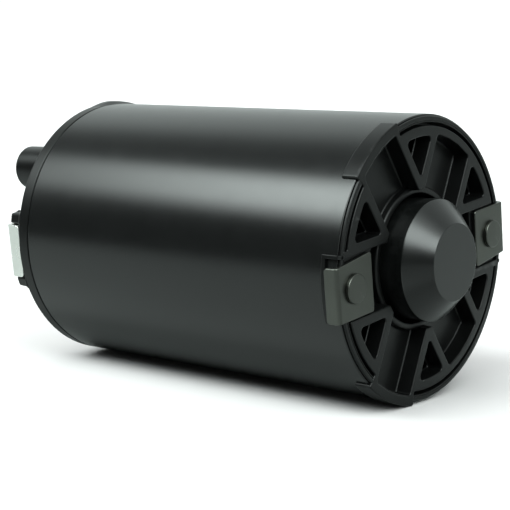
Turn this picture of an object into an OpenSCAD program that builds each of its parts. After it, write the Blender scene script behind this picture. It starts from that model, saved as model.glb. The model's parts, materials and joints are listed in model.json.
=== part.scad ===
// Closed hydraulic reservoir with a spring-loaded piston. The tank lies along X with its front
// cap towards +X. The origin is the mouth of the suction port, on the tank's axis.

/* [Tank] */
// Outer diameter of the tube
tube_d = 200; // [196:0.5:204]
// Length of the tube
tube_len = 295; // [285:1:330]
// Wall thickness of the tube
tube_wall = 3.4; // [3.2:0.1:3.6]

/* [End caps] */
// Angle of the right-hand clips above the horizontal, seen from the front
cap_roll = 6.8; // [0:0.1:30]
// Width of the six radial channels
channel_w = 43; // [43:0.5:44]
// Thickness of the ribs beside the channels
rib_t = 7; // [6:0.5:8]
// Depth of the channels and pockets below the ribs
rib_depth = 12; // [9:0.5:13]
// Diameter of the hole that the nose passes through
hub_hole_d = 90; // [88:0.5:92]
// Length along the tube of the tabs that wrap over its edge
tab_len = 11.4; // [10:0.2:18]
// Width of those tabs, as an angle
tab_angle = 32; // [20:1:34]

/* [Clips] */
// Width of the steel clips at their inner end
clip_w = 41; // [37:0.1:42.6]
// Amount by which the front clips narrow towards the tube
clip_taper = 3.5; // [0:0.1:4]
// Thickness of the steel clips
clip_t = 3; // [2.5:0.1:3]
// Diameter of the rivet heads
rivet_head_d = 20; // [16:1:24]

/* [Nose] */
// Diameter at the base of the nose cone
nose_d = 85; // [80:0.5:86]
// Diameter of the flat front of the nose cone
nose_tip_d = 53.4; // [40:0.2:60]
// Distance that the nose cone stands out of the front cap
nose_out = 26; // [22:0.5:32]

/* [Piston] */
// Travel of the piston from full to empty
piston_travel = 150; // [100:1:150]
// Wire diameter of the return spring
wire_d = 6.5; // [5:0.1:6.6]
// Number of turns of the return spring
spring_turns = 7; // [5:1:7]

/* [Ports] */
// Diameter of the port stub on the rear cap
stub_d = 33.6; // [32:0.2:36]
// Tapping diameter of the return port
return_bore_d = 19; // [16:0.1:20]
// Tapping diameter of the suction port
suction_bore_d = 30.6; // [24:0.1:32]

/* [Hidden] */
$fn = 96;

// Radii of the tank
tube_r = tube_d / 2;
bore_r = tube_r - tube_wall;
skirt_r = bore_r - 0.2;
skirt_inner_r = bore_r - 6.6;
edge_chamfer = 0.8;

// Front cap, along the axis from the tube's front edge
rib_top = 2;
floor_z = rib_top - rib_depth;
face_back = floor_z - 9;
front_skirt_end = -48;
hub_r = hub_hole_d / 2;
collar_wall = 5;
collar_top = -4.5;
collar_end = -36;
rib_inner_r = hub_r + 4;
channel_end_r = bore_r - 10;
pocket_end_r = bore_r - 11.6;
tab_channel_end_r = bore_r - 1.6;
groove_inner_r = bore_r - 4.6;
groove_outer_r = bore_r - 2.1;
groove_depth = 6;
lip_outer_r = tube_r - 1.4;
lip_top = rib_top - 0.3;
tab_t = 1.8;
tab_gap = 0.15;
tab_top = rib_top - 0.1;
tab_places = [120, 240];
strip_half_w = channel_w / 2 + rib_t;

// Clips and rivets
clip_places = [0, 180];
clip_inner_r = 64;
clip_leg_gap = 0.2;
clip_flank_from = -14.2;
clip_flank_to = 12.3;
front_leg_len = 7.5;
hook_w = 30;
hook_h = 3;
hook_depth = 5.5;
hook_gap = 0.3;
pad_inner_r = 61;
rivet_place_r = 84.5;
rivet_shank_r = 4;
rivet_head_h = 2.6;
rivet_tail_r = 5.2;
rivet_tail_h = 2;

// Rear cap, along the axis from the tube's rear edge
flange_gap = 0.8;
flange_t = 11;
shoulder_r = tube_r - 2;
rear_rib_top = flange_t + 11;
rear_tab_len = 3.2;
rear_tab_top = flange_t - 0.2;
rear_tab_places = [67, 294.7];
rear_web_inner = 3;
rear_skirt_end = -33;
rear_rib_outer_r = 88;
hub_boss_r = 27;
hub_face = 27;
guard_outer_r = 98.5;
guard_t = 7.5;
rear_leg_outer_r = tube_r - 1.6;
rear_leg_inner_r = rear_leg_outer_r - clip_t;
rear_leg_tip = flange_t + 0.2;
stub_place_a = 133.7;
stub_place_r = 79;
stub_end = 40;
stub_passage_r = 8.5;

// Port inserts, bleed screw and inner fittings
insert_wall = 4.6;
insert_lip = 2;
insert_lip_t = 1.5;
return_insert_back = 14;
bleed_place_a = 90;
bleed_place_r = 73;
bleed_boss_r = 8.6;
bleed_boss_top = flange_t + 4;
bleed_washer_t = 1.5;
bleed_washer_r = 7.2;
bleed_shank_r = 4;
bleed_head_r = 6.4;
bleed_head_h = 5.4;
strainer_r = 22;
strainer_end = -26;
diffuser_r = 10;
diffuser_end = -12;
fitting_wall = 2;
strainer_lip = 4;
diffuser_lip = 0.8;

// Seal ring grooves and the lock ring
gasket_z = -38;
gasket_h = 4.5;
gasket_depth = 3;
rear_o_ring_z = -22;
lock_ring_z = -12;
lock_ring_s = 2.2;
lock_ring_inner_r = bore_r - 1.2;
bumper_inner_r = bore_r - 6.1;
bumper_outer_r = bore_r - 1.1;

// Piston at its full position, along the axis from the tube's front edge
piston_front = -56;
piston_rear = -100;
piston_web_t = 10;
piston_r = bore_r - 0.6;
piston_inner_r = bore_r - 9;
piston_web = piston_rear + piston_web_t;
ring_r = bore_r - 0.05;
wear_ring_depth = 3;
wear_ring_h = 6;
wear_front_z = -67;
wear_rear_z = -97;
seal_depth = 4;
seal_h = 7;
seal_z = -84;
backup_h = 2;
backup_depth = seal_depth;
bumper_gap = 0.3;

// Stem, nose and screws
nose_r = nose_d / 2;
nose_tip_r = nose_tip_d / 2;
nose_base_z = 10.7;
nose_lip_z = 6;
nose_wall = 3;
spigot_len = 14;
stem_r = nose_r - 0.4;
stem_wall = 3.4;
stem_flange_t = 7;
stem_flange_inner_r = 27;
screw_places = 6;
screw_place_r = 32;
screw_r = 3;
screw_head_r = 5;
screw_head_h = 6;
screw_tip_gap = 1;
washer_r = 6.4;
washer_t = 1.6;
stem_seal_r = 37.6;
stem_seal_s = 1.8;

// Return spring
spring_r = 60;
seat_inner_r = 52.5;
seat_outer_r = 68;
seat_t = 3;
seat_lip_h = 4;
seat_lip_t = 2;
spring_front = face_back - seat_t;
spring_rear = piston_web + seat_t;
wire_sides = 8;
turn_steps = 18;

// The tube's front edge, measured from the origin
front_x = tube_len + hub_face;

// Local Z runs along the tank's axis towards the front, from the tube's front edge
module on_axis() translate([front_x, 0, 0]) rotate([0, 90, 0]) children();

// Local Z runs towards the rear, from the tube's rear edge
module rear_end() on_axis() translate([0, 0, -tube_len]) mirror([0, 0, 1]) children();

// Local X points outwards at an angle counted from the right-hand clips
module at_angle(a) rotate(90 + cap_roll + a) children();

module ring(r_in, r_out, z0, z1) {
    rotate_extrude()
        translate([r_in, z0])
            square([r_out - r_in, z1 - z0]);
}

module disc(r, z0, z1) {
    translate([0, 0, z0])
        cylinder(r = r, h = z1 - z0);
}

// A block that runs outwards from r0 to r1 and is centred across
module block(r0, r1, w, z0, z1) {
    translate([r0, -w / 2, z0])
        cube([r1 - r0, w, z1 - z0]);
}

module channel(end_r, z0, z1) {
    intersection() {
        block(0, tube_r, channel_w, z0, z1);
        disc(end_r, z0, z1);
    }
}

// Six three-cornered pockets, between three strips that cross on the axis
module pockets(end_r, z0, z1) {
    difference() {
        disc(end_r, z0, z1);
        for (a = [0, 60, 120])
            at_angle(a)
                block(-tube_r, tube_r, 2 * strip_half_w, z0 - 1, z1 + 1);
    }
}

// Tab over the tube's edge, between two angles
module front_tab(from, to) {
    rotate(from)
        rotate_extrude(angle = to - from)
            polygon([
                [groove_inner_r - 1, -groove_depth - 0.5],
                [skirt_r - 0.4, -groove_depth - 0.5],
                [skirt_r - 0.4, tab_gap],
                [tube_r + tab_gap, tab_gap],
                [tube_r + tab_gap, -tab_len],
                [tube_r + tab_gap + tab_t - 0.6, -tab_len],
                [tube_r + tab_gap + tab_t, -tab_len + 0.6],
                [tube_r + tab_gap + tab_t, tab_top - 1.2],
                [tube_r + tab_gap + tab_t - 1.2, tab_top],
                [groove_inner_r - 1, tab_top]]);
}

// Lip of the front cap that covers the tube's edge
module front_lip() {
    rotate_extrude()
        polygon([
            [groove_outer_r + 0.3, 0.2],
            [lip_outer_r, 0.2],
            [lip_outer_r, lip_top - 0.9],
            [lip_outer_r - 0.9, lip_top],
            [groove_outer_r + 0.3, lip_top]]);
}

module front_cap_face() {
    difference() {
        union() {
            difference() {
                ring(hub_r, skirt_r, face_back, rib_top);
                ring(groove_inner_r, groove_outer_r, -groove_depth, rib_top + 1);
            }
            front_lip();
            for (a = tab_places)
                at_angle(a)
                    front_tab(-tab_angle / 2, tab_angle / 2);
            for (a = clip_places)
                at_angle(a)
                    difference() {
                        front_tab(clip_flank_from, clip_flank_to);
                        block(pad_inner_r, tube_r + 5, channel_w + 1,
                            -front_leg_len - 0.5, rib_top + 1);
                    }
        }
        ring(hub_r - 1, rib_inner_r, floor_z, rib_top + 1);
        for (a = [0 : 60 : 300])
            at_angle(a)
                channel(channel_end_r, floor_z, rib_top + 1);
        for (a = tab_places)
            at_angle(a)
                channel(tab_channel_end_r, floor_z, rib_top + 1);
        pockets(pocket_end_r, floor_z, rib_top + 1);
    }
}

module front_cap() {
    color("#1e1f21")
        on_axis()
            difference() {
                union() {
                    front_cap_face();
                    ring(hub_r, hub_r + collar_wall, collar_end, collar_top);
                    ring(skirt_inner_r, skirt_r, front_skirt_end, face_back + 1);
                    for (a = clip_places)
                        at_angle(a)
                            block(pad_inner_r, channel_end_r + 1, channel_w, floor_z - 1, 1);
                }
                for (a = clip_places)
                    at_angle(a) {
                        block(pad_inner_r, tube_r + 5, channel_w, 0, rib_top + 1);
                        translate([rivet_place_r, 0, 0])
                            disc(rivet_shank_r, face_back - 1, 1);
                        block(bore_r - hook_depth - 1, tube_r, hook_w + 1,
                            -front_leg_len - hook_gap, -front_leg_len + hook_h + hook_gap);
                    }
                ring(skirt_r - gasket_depth, tube_r, gasket_z, gasket_z + gasket_h);
            }
}

module shell() {
    color("#17181a")
        on_axis()
            difference() {
                rotate_extrude()
                    polygon([
                        [bore_r, -tube_len],
                        [tube_r - edge_chamfer, -tube_len],
                        [tube_r, edge_chamfer - tube_len],
                        [tube_r, -edge_chamfer],
                        [tube_r - edge_chamfer, 0],
                        [bore_r, 0]]);
                for (a = clip_places)
                    at_angle(a)
                        block(bore_r - 2, tube_r + 1, hook_w + 1,
                            -front_leg_len - hook_gap, -front_leg_len + hook_h + hook_gap);
                ring(bore_r - 1, lock_ring_inner_r + lock_ring_s,
                    -tube_len - lock_ring_z - lock_ring_s, -tube_len - lock_ring_z);
            }
}

// L-shaped clip: a plate on the cap's face and a leg along the tube
module clip(leg_inner_r, leg_end, plate_z, hooked) {
    leg_outer_r = leg_inner_r + clip_t;
    difference() {
        union() {
            block(clip_inner_r, leg_outer_r, clip_w, plate_z, plate_z + clip_t);
            block(leg_inner_r, leg_outer_r, clip_w, leg_end, plate_z + clip_t);
            if (hooked)
                intersection() {
                    block(clip_inner_r, leg_outer_r, hook_w, leg_end, leg_end + hook_h);
                    ring(bore_r - hook_depth + 0.5, leg_inner_r + 1, leg_end, leg_end + hook_h);
                }
        }
        translate([rivet_place_r, 0, 0])
            disc(rivet_shank_r, plate_z - 1, plate_z + clip_t + 1);
    }
}

module front_clip(a) {
    leg_inner_r = tube_r + clip_leg_gap;
    leg_outer_r = leg_inner_r + clip_t;
    color("#5a5c54")
        on_axis()
            at_angle(a)
                intersection() {
                    clip(leg_inner_r, -front_leg_len, 0, true);
                    translate([0, 0, -front_leg_len - 1])
                        linear_extrude(front_leg_len + clip_t + 2)
                            polygon([
                                [clip_inner_r - 1, -clip_w / 2],
                                [leg_outer_r + 1, clip_taper - clip_w / 2],
                                [leg_outer_r + 1, clip_w / 2 + 1],
                                [clip_inner_r - 1, clip_w / 2 + 1]]);
                }
}

module rear_clip(a) {
    color("#c9cac6")
        rear_end()
            at_angle(a)
                clip(rear_leg_inner_r, rear_leg_tip, rear_rib_top, false);
}

// Rivet through a clip and its cap, with a wide flat head and an upset tail
module rivet(tail_z, head_z) {
    disc(rivet_shank_r, tail_z, head_z);
    disc(rivet_head_d / 2, head_z, head_z + rivet_head_h);
    disc(rivet_tail_r, tail_z - rivet_tail_h, tail_z);
}

module front_clip_rivets() {
    color("#66685f")
        on_axis()
            for (a = clip_places)
                at_angle(a)
                    translate([rivet_place_r, 0, 0])
                        rivet(face_back, clip_t);
}

module rear_clip_rivets() {
    color("#c9cac6")
        rear_end()
            for (a = clip_places)
                at_angle(a)
                    translate([rivet_place_r, 0, 0])
                        rivet(rear_web_inner, rear_rib_top + clip_t);
}

// Tab on the rear flange, with local Z towards the rear
module rear_tab() {
    rotate(-tab_angle / 2)
        rotate_extrude(angle = tab_angle)
            polygon([
                [shoulder_r - 1, flange_gap + 1],
                [tube_r + tab_gap, flange_gap + 1],
                [tube_r + tab_gap, -rear_tab_len],
                [tube_r + tab_gap + tab_t - 0.6, -rear_tab_len],
                [tube_r + tab_gap + tab_t, -rear_tab_len + 0.6],
                [tube_r + tab_gap + tab_t, rear_tab_top - 1.2],
                [tube_r + tab_gap + tab_t - 1.2, rear_tab_top],
                [shoulder_r - 1, rear_tab_top]]);
}

module rear_cap_ribs() {
    difference() {
        disc(rear_rib_outer_r, flange_t - 1, rear_rib_top);
        for (a = [60, 120, 240, 300])
            at_angle(a)
                channel(rear_rib_outer_r - rib_t, flange_t, rear_rib_top + 1);
        pockets(rear_rib_outer_r - rib_t, flange_t, rear_rib_top + 1);
    }
    for (a = clip_places)
        at_angle(a)
            intersection() {
                block(pad_inner_r, tube_r, channel_w + 2 * guard_t, flange_t - 1, rear_rib_top);
                disc(guard_outer_r, flange_t - 1, rear_rib_top);
            }
}

// Place of the return port, with local Z along the port
module at_stub() {
    at_angle(stub_place_a)
        translate([stub_place_r, 0, 0])
            children();
}

module at_bleed() {
    at_angle(bleed_place_a)
        translate([bleed_place_r, 0, 0])
            children();
}

module rear_cap() {
    color("#1e1f21")
        rear_end()
            difference() {
                union() {
                    disc(tube_r, flange_gap, flange_t);
                    for (a = rear_tab_places)
                        at_angle(a)
                            rear_tab();
                    disc(shoulder_r, 0, flange_gap + 1);
                    disc(skirt_r, rear_skirt_end, 1);
                    rear_cap_ribs();
                    disc(hub_boss_r, flange_t - 1, hub_face - insert_lip_t);
                    at_stub()
                        disc(stub_d / 2, flange_t - 1, stub_end - insert_lip_t);
                    at_bleed()
                        disc(bleed_boss_r, flange_t - 1, bleed_boss_top);
                }
                disc(skirt_inner_r, rear_skirt_end - 1, rear_web_inner);
                disc(suction_bore_d / 2 + insert_wall, rear_web_inner - 1, hub_face + 1);
                at_stub() {
                    disc(return_bore_d / 2 + insert_wall - 1, return_insert_back, stub_end + 1);
                    disc(stub_passage_r, rear_web_inner - 1, return_insert_back + 1);
                }
                at_bleed()
                    disc(bleed_shank_r, rear_web_inner - 1, bleed_boss_top + 1);
                for (a = clip_places)
                    at_angle(a) {
                        block(rear_leg_inner_r - 0.2, tube_r + 1, channel_w, flange_t, rear_rib_top + 1);
                        translate([rivet_place_r, 0, 0])
                            disc(rivet_shank_r, rear_web_inner - 1, rear_rib_top + 1);
                    }
                ring(skirt_r - gasket_depth, tube_r, rear_o_ring_z, rear_o_ring_z + gasket_h);
                ring(lock_ring_inner_r, tube_r, lock_ring_z, lock_ring_z + lock_ring_s);
            }
}

module nose_cone() {
    color("#232427")
        on_axis()
            rotate_extrude()
                polygon([
                    [stem_r - stem_wall, nose_lip_z],
                    [nose_r, nose_lip_z],
                    [nose_r, nose_base_z],
                    [nose_tip_r, nose_out],
                    [0, nose_out],
                    [0, nose_out - nose_wall],
                    [nose_tip_r - 2, nose_out - nose_wall],
                    [nose_r - nose_wall - 4.5, nose_base_z - 1],
                    [stem_r - stem_wall - nose_wall, nose_lip_z - 1],
                    [stem_r - stem_wall - nose_wall, nose_lip_z - spigot_len],
                    [stem_r - stem_wall, nose_lip_z - spigot_len]]);
}

module piston_stem() {
    color("#2c2d30")
        on_axis()
            difference() {
                disc(stem_r, piston_web, nose_lip_z);
                disc(stem_r - stem_wall, piston_web + stem_flange_t, nose_lip_z + 1);
                disc(stem_flange_inner_r, piston_web - 1, nose_lip_z);
                ring(stem_seal_r, stem_seal_r + stem_seal_s, piston_web - 1, piston_web + stem_seal_s);
                for (k = [0 : screw_places - 1])
                    at_angle(k * 360 / screw_places)
                        translate([screw_place_r, 0, 0])
                            disc(screw_r, piston_web - 1, piston_web + stem_flange_t);
            }
}

module stem_seal() {
    color("#101010")
        on_axis()
            ring(stem_seal_r, stem_seal_r + stem_seal_s, piston_web, piston_web + stem_seal_s);
}

module stem_screws() {
    head_top = piston_rear - washer_t;
    color("#8d8f92")
        on_axis()
            for (k = [0 : screw_places - 1])
                at_angle(k * 360 / screw_places)
                    translate([screw_place_r, 0, 0])
                        difference() {
                            union() {
                                disc(screw_r, head_top, piston_web + stem_flange_t - screw_tip_gap);
                                disc(screw_head_r, head_top - screw_head_h, head_top);
                            }
                            translate([0, 0, head_top - screw_head_h - 1])
                                cylinder(r = 2.9, h = 4, $fn = 6);
                        }
}

module stem_washers() {
    color("#3a3a3c")
        on_axis()
            for (k = [0 : screw_places - 1])
                at_angle(k * 360 / screw_places)
                    translate([screw_place_r, 0, 0])
                        ring(screw_r, washer_r, piston_rear - washer_t, piston_rear);
}

module piston() {
    color("#77797c")
        on_axis()
            difference() {
                disc(piston_r, piston_rear, piston_front);
                disc(piston_inner_r, piston_web, piston_front + 1);
                for (z = [wear_front_z, wear_rear_z])
                    ring(ring_r - wear_ring_depth, tube_r, z, z + wear_ring_h);
                ring(ring_r - seal_depth, tube_r, seal_z, seal_z + seal_h + backup_h);
                for (k = [0 : screw_places - 1])
                    at_angle(k * 360 / screw_places)
                        translate([screw_place_r, 0, 0])
                            disc(screw_r, piston_rear - 1, piston_web + 1);
            }
}

module piston_seal() {
    color("#141414")
        on_axis()
            ring(ring_r - seal_depth, ring_r, seal_z, seal_z + seal_h);
}

module piston_backup_ring() {
    color("#d8d4c4")
        on_axis()
            ring(ring_r - backup_depth, ring_r, seal_z + seal_h, seal_z + seal_h + backup_h);
}

module wear_ring(z) {
    color("#5b4a36")
        on_axis()
            ring(ring_r - wear_ring_depth, ring_r, z, z + wear_ring_h);
}

// Flat steel ring with a lip that centres the spring
module spring_seat(face_z, side) {
    z0 = min(face_z, face_z + side * seat_t);
    z1 = max(face_z, face_z + side * seat_t);
    lip_z = face_z + side * (seat_t + seat_lip_h);
    ring(seat_inner_r, seat_outer_r, z0, z1);
    ring(seat_inner_r, seat_inner_r + seat_lip_t, min(face_z, lip_z), max(face_z, lip_z));
}

module front_spring_seat() {
    color("#a9abad")
        on_axis()
            spring_seat(face_back, -1);
}

module piston_spring_seat() {
    color("#a9abad")
        on_axis()
            spring_seat(piston_web, 1);
}

// Ring of wire corners at step i of the coil
function wire_ring(i, pitch, z0) = [
    for (k = [0 : wire_sides - 1])
        let(
            turn = 360 * i / turn_steps,
            side = 360 * k / wire_sides,
            r = spring_r + wire_d / 2 * cos(side))
        [r * cos(turn), r * sin(turn), z0 + pitch * i / turn_steps + wire_d / 2 * sin(side)]];

module return_spring() {
    steps = spring_turns * turn_steps;
    z0 = spring_rear + wire_d / 2 + 0.1;
    pitch = (spring_front - spring_rear - wire_d - 0.2) / spring_turns;
    color("#9b9da0")
        on_axis()
            polyhedron(
                points = [for (i = [0 : steps]) each wire_ring(i, pitch, z0)],
                faces = [
                    [for (k = [0 : wire_sides - 1]) k],
                    [for (k = [wire_sides - 1 : -1 : 0]) steps * wire_sides + k],
                    for (i = [0 : steps - 1], k = [0 : wire_sides - 1])
                        let(
                            n = (k + 1) % wire_sides,
                            a = i * wire_sides,
                            b = a + wire_sides)
                        [a + k, b + k, b + n, a + n]]);
}

module front_gasket() {
    color("#101010")
        on_axis()
            ring(skirt_r - gasket_depth, bore_r, gasket_z, gasket_z + gasket_h);
}

module front_bumper() {
    color("#101010")
        on_axis()
            ring(bumper_inner_r, bumper_outer_r, piston_front + bumper_gap, front_skirt_end);
}

module rear_bumper() {
    empty_z = tube_len + piston_rear - piston_travel;
    color("#101010")
        rear_end()
            ring(bumper_inner_r, bumper_outer_r, -empty_z + bumper_gap, rear_skirt_end);
}

module rear_o_ring() {
    color("#101010")
        rear_end()
            ring(skirt_r - gasket_depth, bore_r, rear_o_ring_z, rear_o_ring_z + gasket_h);
}

module rear_lock_ring() {
    color("#9b9da0")
        rear_end()
            ring(lock_ring_inner_r, lock_ring_inner_r + lock_ring_s,
                lock_ring_z, lock_ring_z + lock_ring_s);
}

// Threaded insert with a lip at its mouth
module port_insert(bore, wall, back, mouth) {
    ring(bore / 2, bore / 2 + wall, back, mouth);
    ring(bore / 2, bore / 2 + wall + insert_lip, mouth - insert_lip_t, mouth);
}

module suction_port_insert() {
    color("#b5924c")
        rear_end()
            port_insert(suction_bore_d, insert_wall, rear_web_inner, hub_face);
}

module return_port_insert() {
    color("#b5924c")
        rear_end()
            at_stub()
                port_insert(return_bore_d, insert_wall - 1, return_insert_back, stub_end);
}

// Closed cup with slots in its wall and a lip that sits on the rear cap
module slotted_cup(r, lip, end, slots, slot_w) {
    difference() {
        union() {
            disc(r, end, rear_web_inner);
            disc(r + lip, rear_web_inner - fitting_wall, rear_web_inner);
        }
        disc(r - fitting_wall, end + fitting_wall, rear_web_inner + 1);
        for (k = [0 : slots - 1])
            rotate(k * 180 / slots)
                translate([-r - 1, -slot_w / 2, end + 4])
                    cube([2 * r + 2, slot_w, -end - 8]);
    }
}

module suction_strainer() {
    color("#a9abad")
        rear_end()
            slotted_cup(strainer_r, strainer_lip, strainer_end, 6, 4);
}

module return_diffuser() {
    color("#a9abad")
        rear_end()
            at_stub()
                slotted_cup(diffuser_r, diffuser_lip, diffuser_end, 3, 3);
}

module bleed_screw() {
    head_z = bleed_boss_top + bleed_washer_t;
    color("#8d8f92")
        rear_end()
            at_bleed() {
                disc(bleed_shank_r, rear_web_inner + 1, head_z);
                translate([0, 0, head_z])
                    cylinder(r = bleed_head_r, h = bleed_head_h, $fn = 6);
            }
}

module bleed_washer() {
    color("#b5924c")
        rear_end()
            at_bleed()
                ring(bleed_shank_r, bleed_washer_r, bleed_boss_top, bleed_boss_top + bleed_washer_t);
}

shell();
front_cap();
rear_cap();
nose_cone();
front_clip(0);  // front_clip_right
front_clip(180);  // front_clip_left
rear_clip(0);  // rear_clip_right
rear_clip(180);  // rear_clip_left
front_clip_rivets();
rear_clip_rivets();
front_gasket();
front_bumper();
front_spring_seat();
return_spring();
piston();
piston_seal();
piston_backup_ring();
wear_ring(wear_front_z);  // wear_ring_front
wear_ring(wear_rear_z);  // wear_ring_rear
piston_spring_seat();
piston_stem();
stem_seal();
stem_screws();
stem_washers();
rear_bumper();
rear_o_ring();
rear_lock_ring();
suction_port_insert();
suction_strainer();
return_port_insert();
return_diffuser();
bleed_screw();
bleed_washer();
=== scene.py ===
"""Looks of the hydraulic reservoir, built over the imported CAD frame.

The visual pieces are worked out in millimetres in cap coordinates: u and v lie across the tank with u
along the right-hand clips, and w runs along the axis, forwards from the tube's front edge for the front
cap and rearwards from the tube's rear edge for the rear cap.
"""

import math

import bmesh
import bpy
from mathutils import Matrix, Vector
from mathutils.geometry import tessellate_polygon
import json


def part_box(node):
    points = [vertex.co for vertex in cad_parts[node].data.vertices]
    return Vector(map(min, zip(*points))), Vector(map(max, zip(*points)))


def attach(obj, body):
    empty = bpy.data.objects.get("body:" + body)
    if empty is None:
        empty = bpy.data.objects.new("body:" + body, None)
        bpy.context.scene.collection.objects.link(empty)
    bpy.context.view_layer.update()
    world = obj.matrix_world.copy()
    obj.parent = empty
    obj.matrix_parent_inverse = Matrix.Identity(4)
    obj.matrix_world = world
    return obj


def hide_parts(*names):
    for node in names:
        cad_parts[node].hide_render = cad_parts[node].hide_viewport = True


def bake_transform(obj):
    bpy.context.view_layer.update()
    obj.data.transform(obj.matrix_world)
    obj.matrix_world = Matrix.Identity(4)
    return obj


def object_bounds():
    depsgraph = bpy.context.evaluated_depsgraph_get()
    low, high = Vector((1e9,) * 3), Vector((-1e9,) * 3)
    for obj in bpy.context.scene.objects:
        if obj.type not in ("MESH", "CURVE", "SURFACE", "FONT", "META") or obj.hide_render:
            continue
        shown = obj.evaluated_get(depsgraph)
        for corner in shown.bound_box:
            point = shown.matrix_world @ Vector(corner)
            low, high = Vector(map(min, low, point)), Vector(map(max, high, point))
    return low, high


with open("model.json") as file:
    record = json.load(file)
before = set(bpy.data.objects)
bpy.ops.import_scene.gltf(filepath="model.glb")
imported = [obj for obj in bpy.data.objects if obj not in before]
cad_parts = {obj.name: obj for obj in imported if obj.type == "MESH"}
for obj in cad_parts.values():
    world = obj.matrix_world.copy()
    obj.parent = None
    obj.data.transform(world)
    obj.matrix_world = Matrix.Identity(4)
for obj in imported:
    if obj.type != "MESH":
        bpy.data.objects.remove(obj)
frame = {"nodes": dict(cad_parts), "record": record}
MM = 0.001
CAD_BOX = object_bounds()
TUBE_LOW, TUBE_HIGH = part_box("shell")
FRONT_X, REAR_X = TUBE_HIGH.x, TUBE_LOW.x
TUBE_R = TUBE_HIGH.y / MM

# The caps' pattern is turned about the axis; the highest and outermost rivet head says by how much.
HEAD_R = 10.0
HEADS_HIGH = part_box("front_clip_rivets")[1]
ROLL = math.atan2(HEADS_HIGH.z - HEAD_R * MM, HEADS_HIGH.y - HEAD_R * MM)


# ---------------------------------------------------------------- places
def turned(angle, along, across):
    """Point that lies along and across a direction at that pattern angle, in degrees."""
    c, s = math.cos(math.radians(angle)), math.sin(math.radians(angle))
    return along * c - across * s, along * s + across * c


def rolled(x, u, v):
    """Pattern point at x metres, turned into the row frame."""
    c, s = math.cos(ROLL), math.sin(ROLL)
    return Vector((x, (u * c - v * s) * MM, (u * s + v * c) * MM))


def front(u, v, w):
    return rolled(FRONT_X + w * MM, u, v)


def rear(u, v, w):
    return rolled(REAR_X - w * MM, u, v)


def at(place, angle, radius=0.0):
    """Local x points outwards at that pattern angle, from a point at that radius."""

    def put(x, y, w):
        return place(*turned(angle, radius + x, y), w)

    return put


# ---------------------------------------------------------------- outlines
def short_way(start, end):
    """The end angle, in radians, reached from start by at most half a turn."""
    return start + (end - start + math.pi) % (2 * math.pi) - math.pi


def quarter(k, steps):
    """How far a rounded edge has left its two faces at step k of a quarter turn, for a radius of 1."""
    a = math.pi / 2 * k / steps
    return 1 - math.sin(a), 1 - math.cos(a)


def quarters(steps):
    """All steps of a quarter turn, both ends included."""
    return [quarter(k, steps) for k in range(steps + 1)]


def arc(centre, radius, start, end, steps):
    """Points of a circular arc, both ends included."""
    return [
        (
            centre[0] + radius * math.cos(start + (end - start) * k / steps),
            centre[1] + radius * math.sin(start + (end - start) * k / steps),
        )
        for k in range(steps + 1)
    ]


def filleted(points, grow=0.0, steps=5):
    """Polygon of (x, y, fillet), drawn anticlockwise, grown outwards with its corners rounded."""
    n = len(points)
    out = []
    for i in range(n):
        (ax, ay, _), (bx, by, f), (cx, cy, _) = points[i - 1], points[i], points[(i + 1) % n]
        d0, d1 = Vector((bx - ax, by - ay)).normalized(), Vector((cx - bx, cy - by)).normalized()
        turn = d0.x * d1.y - d0.y * d1.x
        n0, n1 = Vector((d0.y, -d0.x)), Vector((d1.y, -d1.x))
        half = 1 + n0.dot(n1)
        corner = Vector((bx, by)) + (n0 + n1) * (grow / half)
        if f <= 0:
            out += [tuple(corner)]
            continue
        side = 1 if turn > 0 else -1
        radius = max(f + side * grow, 0.01)
        centre = corner - (n0 + n1) * (side * radius / half)
        a0 = math.atan2(side * n0.y, side * n0.x)
        sweep = side * math.acos(max(-1.0, min(1.0, n0.dot(n1))))
        out += arc(centre, radius, a0, a0 + sweep, steps)
    return out


# Degrees between the points of an arc round the axis
ARC_STEP = 2.5


class Corner:
    """Rounded corner where a channel's side line meets a circle about the axis.

    angle and side place the line; solid_side and solid_circle say on which side of each the solid lies.
    An inward corner is drawn from the circle to the line, and a fixed one never grows.
    """

    def __init__(
        self, angle, side, circle, solid_side, solid_circle, fillet, convex=True, inward=False, fixed=False
    ):
        self.angle, self.side, self.circle = angle, side, circle
        self.solid_side, self.solid_circle = solid_side, solid_circle
        self.fillet, self.sign = fillet, 1 if convex else -1
        self.inward, self.fixed = inward, fixed

    def points(self, grow, steps=6):
        if self.fixed:
            grow = min(grow, 0.0)
        side = self.side - grow * self.solid_side
        circle = self.circle - grow * self.solid_circle
        f = max(self.fillet + self.sign * grow, 0.05)
        across = side + self.sign * self.solid_side * f
        reach = circle + self.sign * self.solid_circle * f
        centre = turned(self.angle, math.sqrt(reach * reach - across * across), across)
        foot = turned(self.angle, math.sqrt(reach * reach - across * across), side)
        rim = (centre[0] * circle / reach, centre[1] * circle / reach)
        a0 = math.atan2(foot[1] - centre[1], foot[0] - centre[0])
        a1 = math.atan2(rim[1] - centre[1], rim[0] - centre[0])
        pts = arc(centre, f, a0, short_way(a0, a1), steps)
        return pts[::-1] if self.inward else pts


def rim_arc(start, end, steps):
    """Points between two points of one circle about the axis, the ends left out."""
    a0, a1 = math.atan2(start[1], start[0]), math.atan2(end[1], end[0])
    return arc((0, 0), math.hypot(*start), a0, short_way(a0, a1), steps)[1:-1]


def outline(corners, grow):
    """Closed loop through the corners: straight along lines, curved along the circles they share."""
    out = []
    for i, corner in enumerate(corners):
        pts = corner.points(grow)
        out += pts
        if corner.inward:
            continue
        nxt = corners[(i + 1) % len(corners)].points(grow)
        nominal = abs(corner.angle - corners[(i + 1) % len(corners)].angle) % 360
        steps = max(3, int(min(nominal, 360 - nominal) / ARC_STEP))
        out += rim_arc(pts[-1], nxt[0], steps)
    return out


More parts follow.
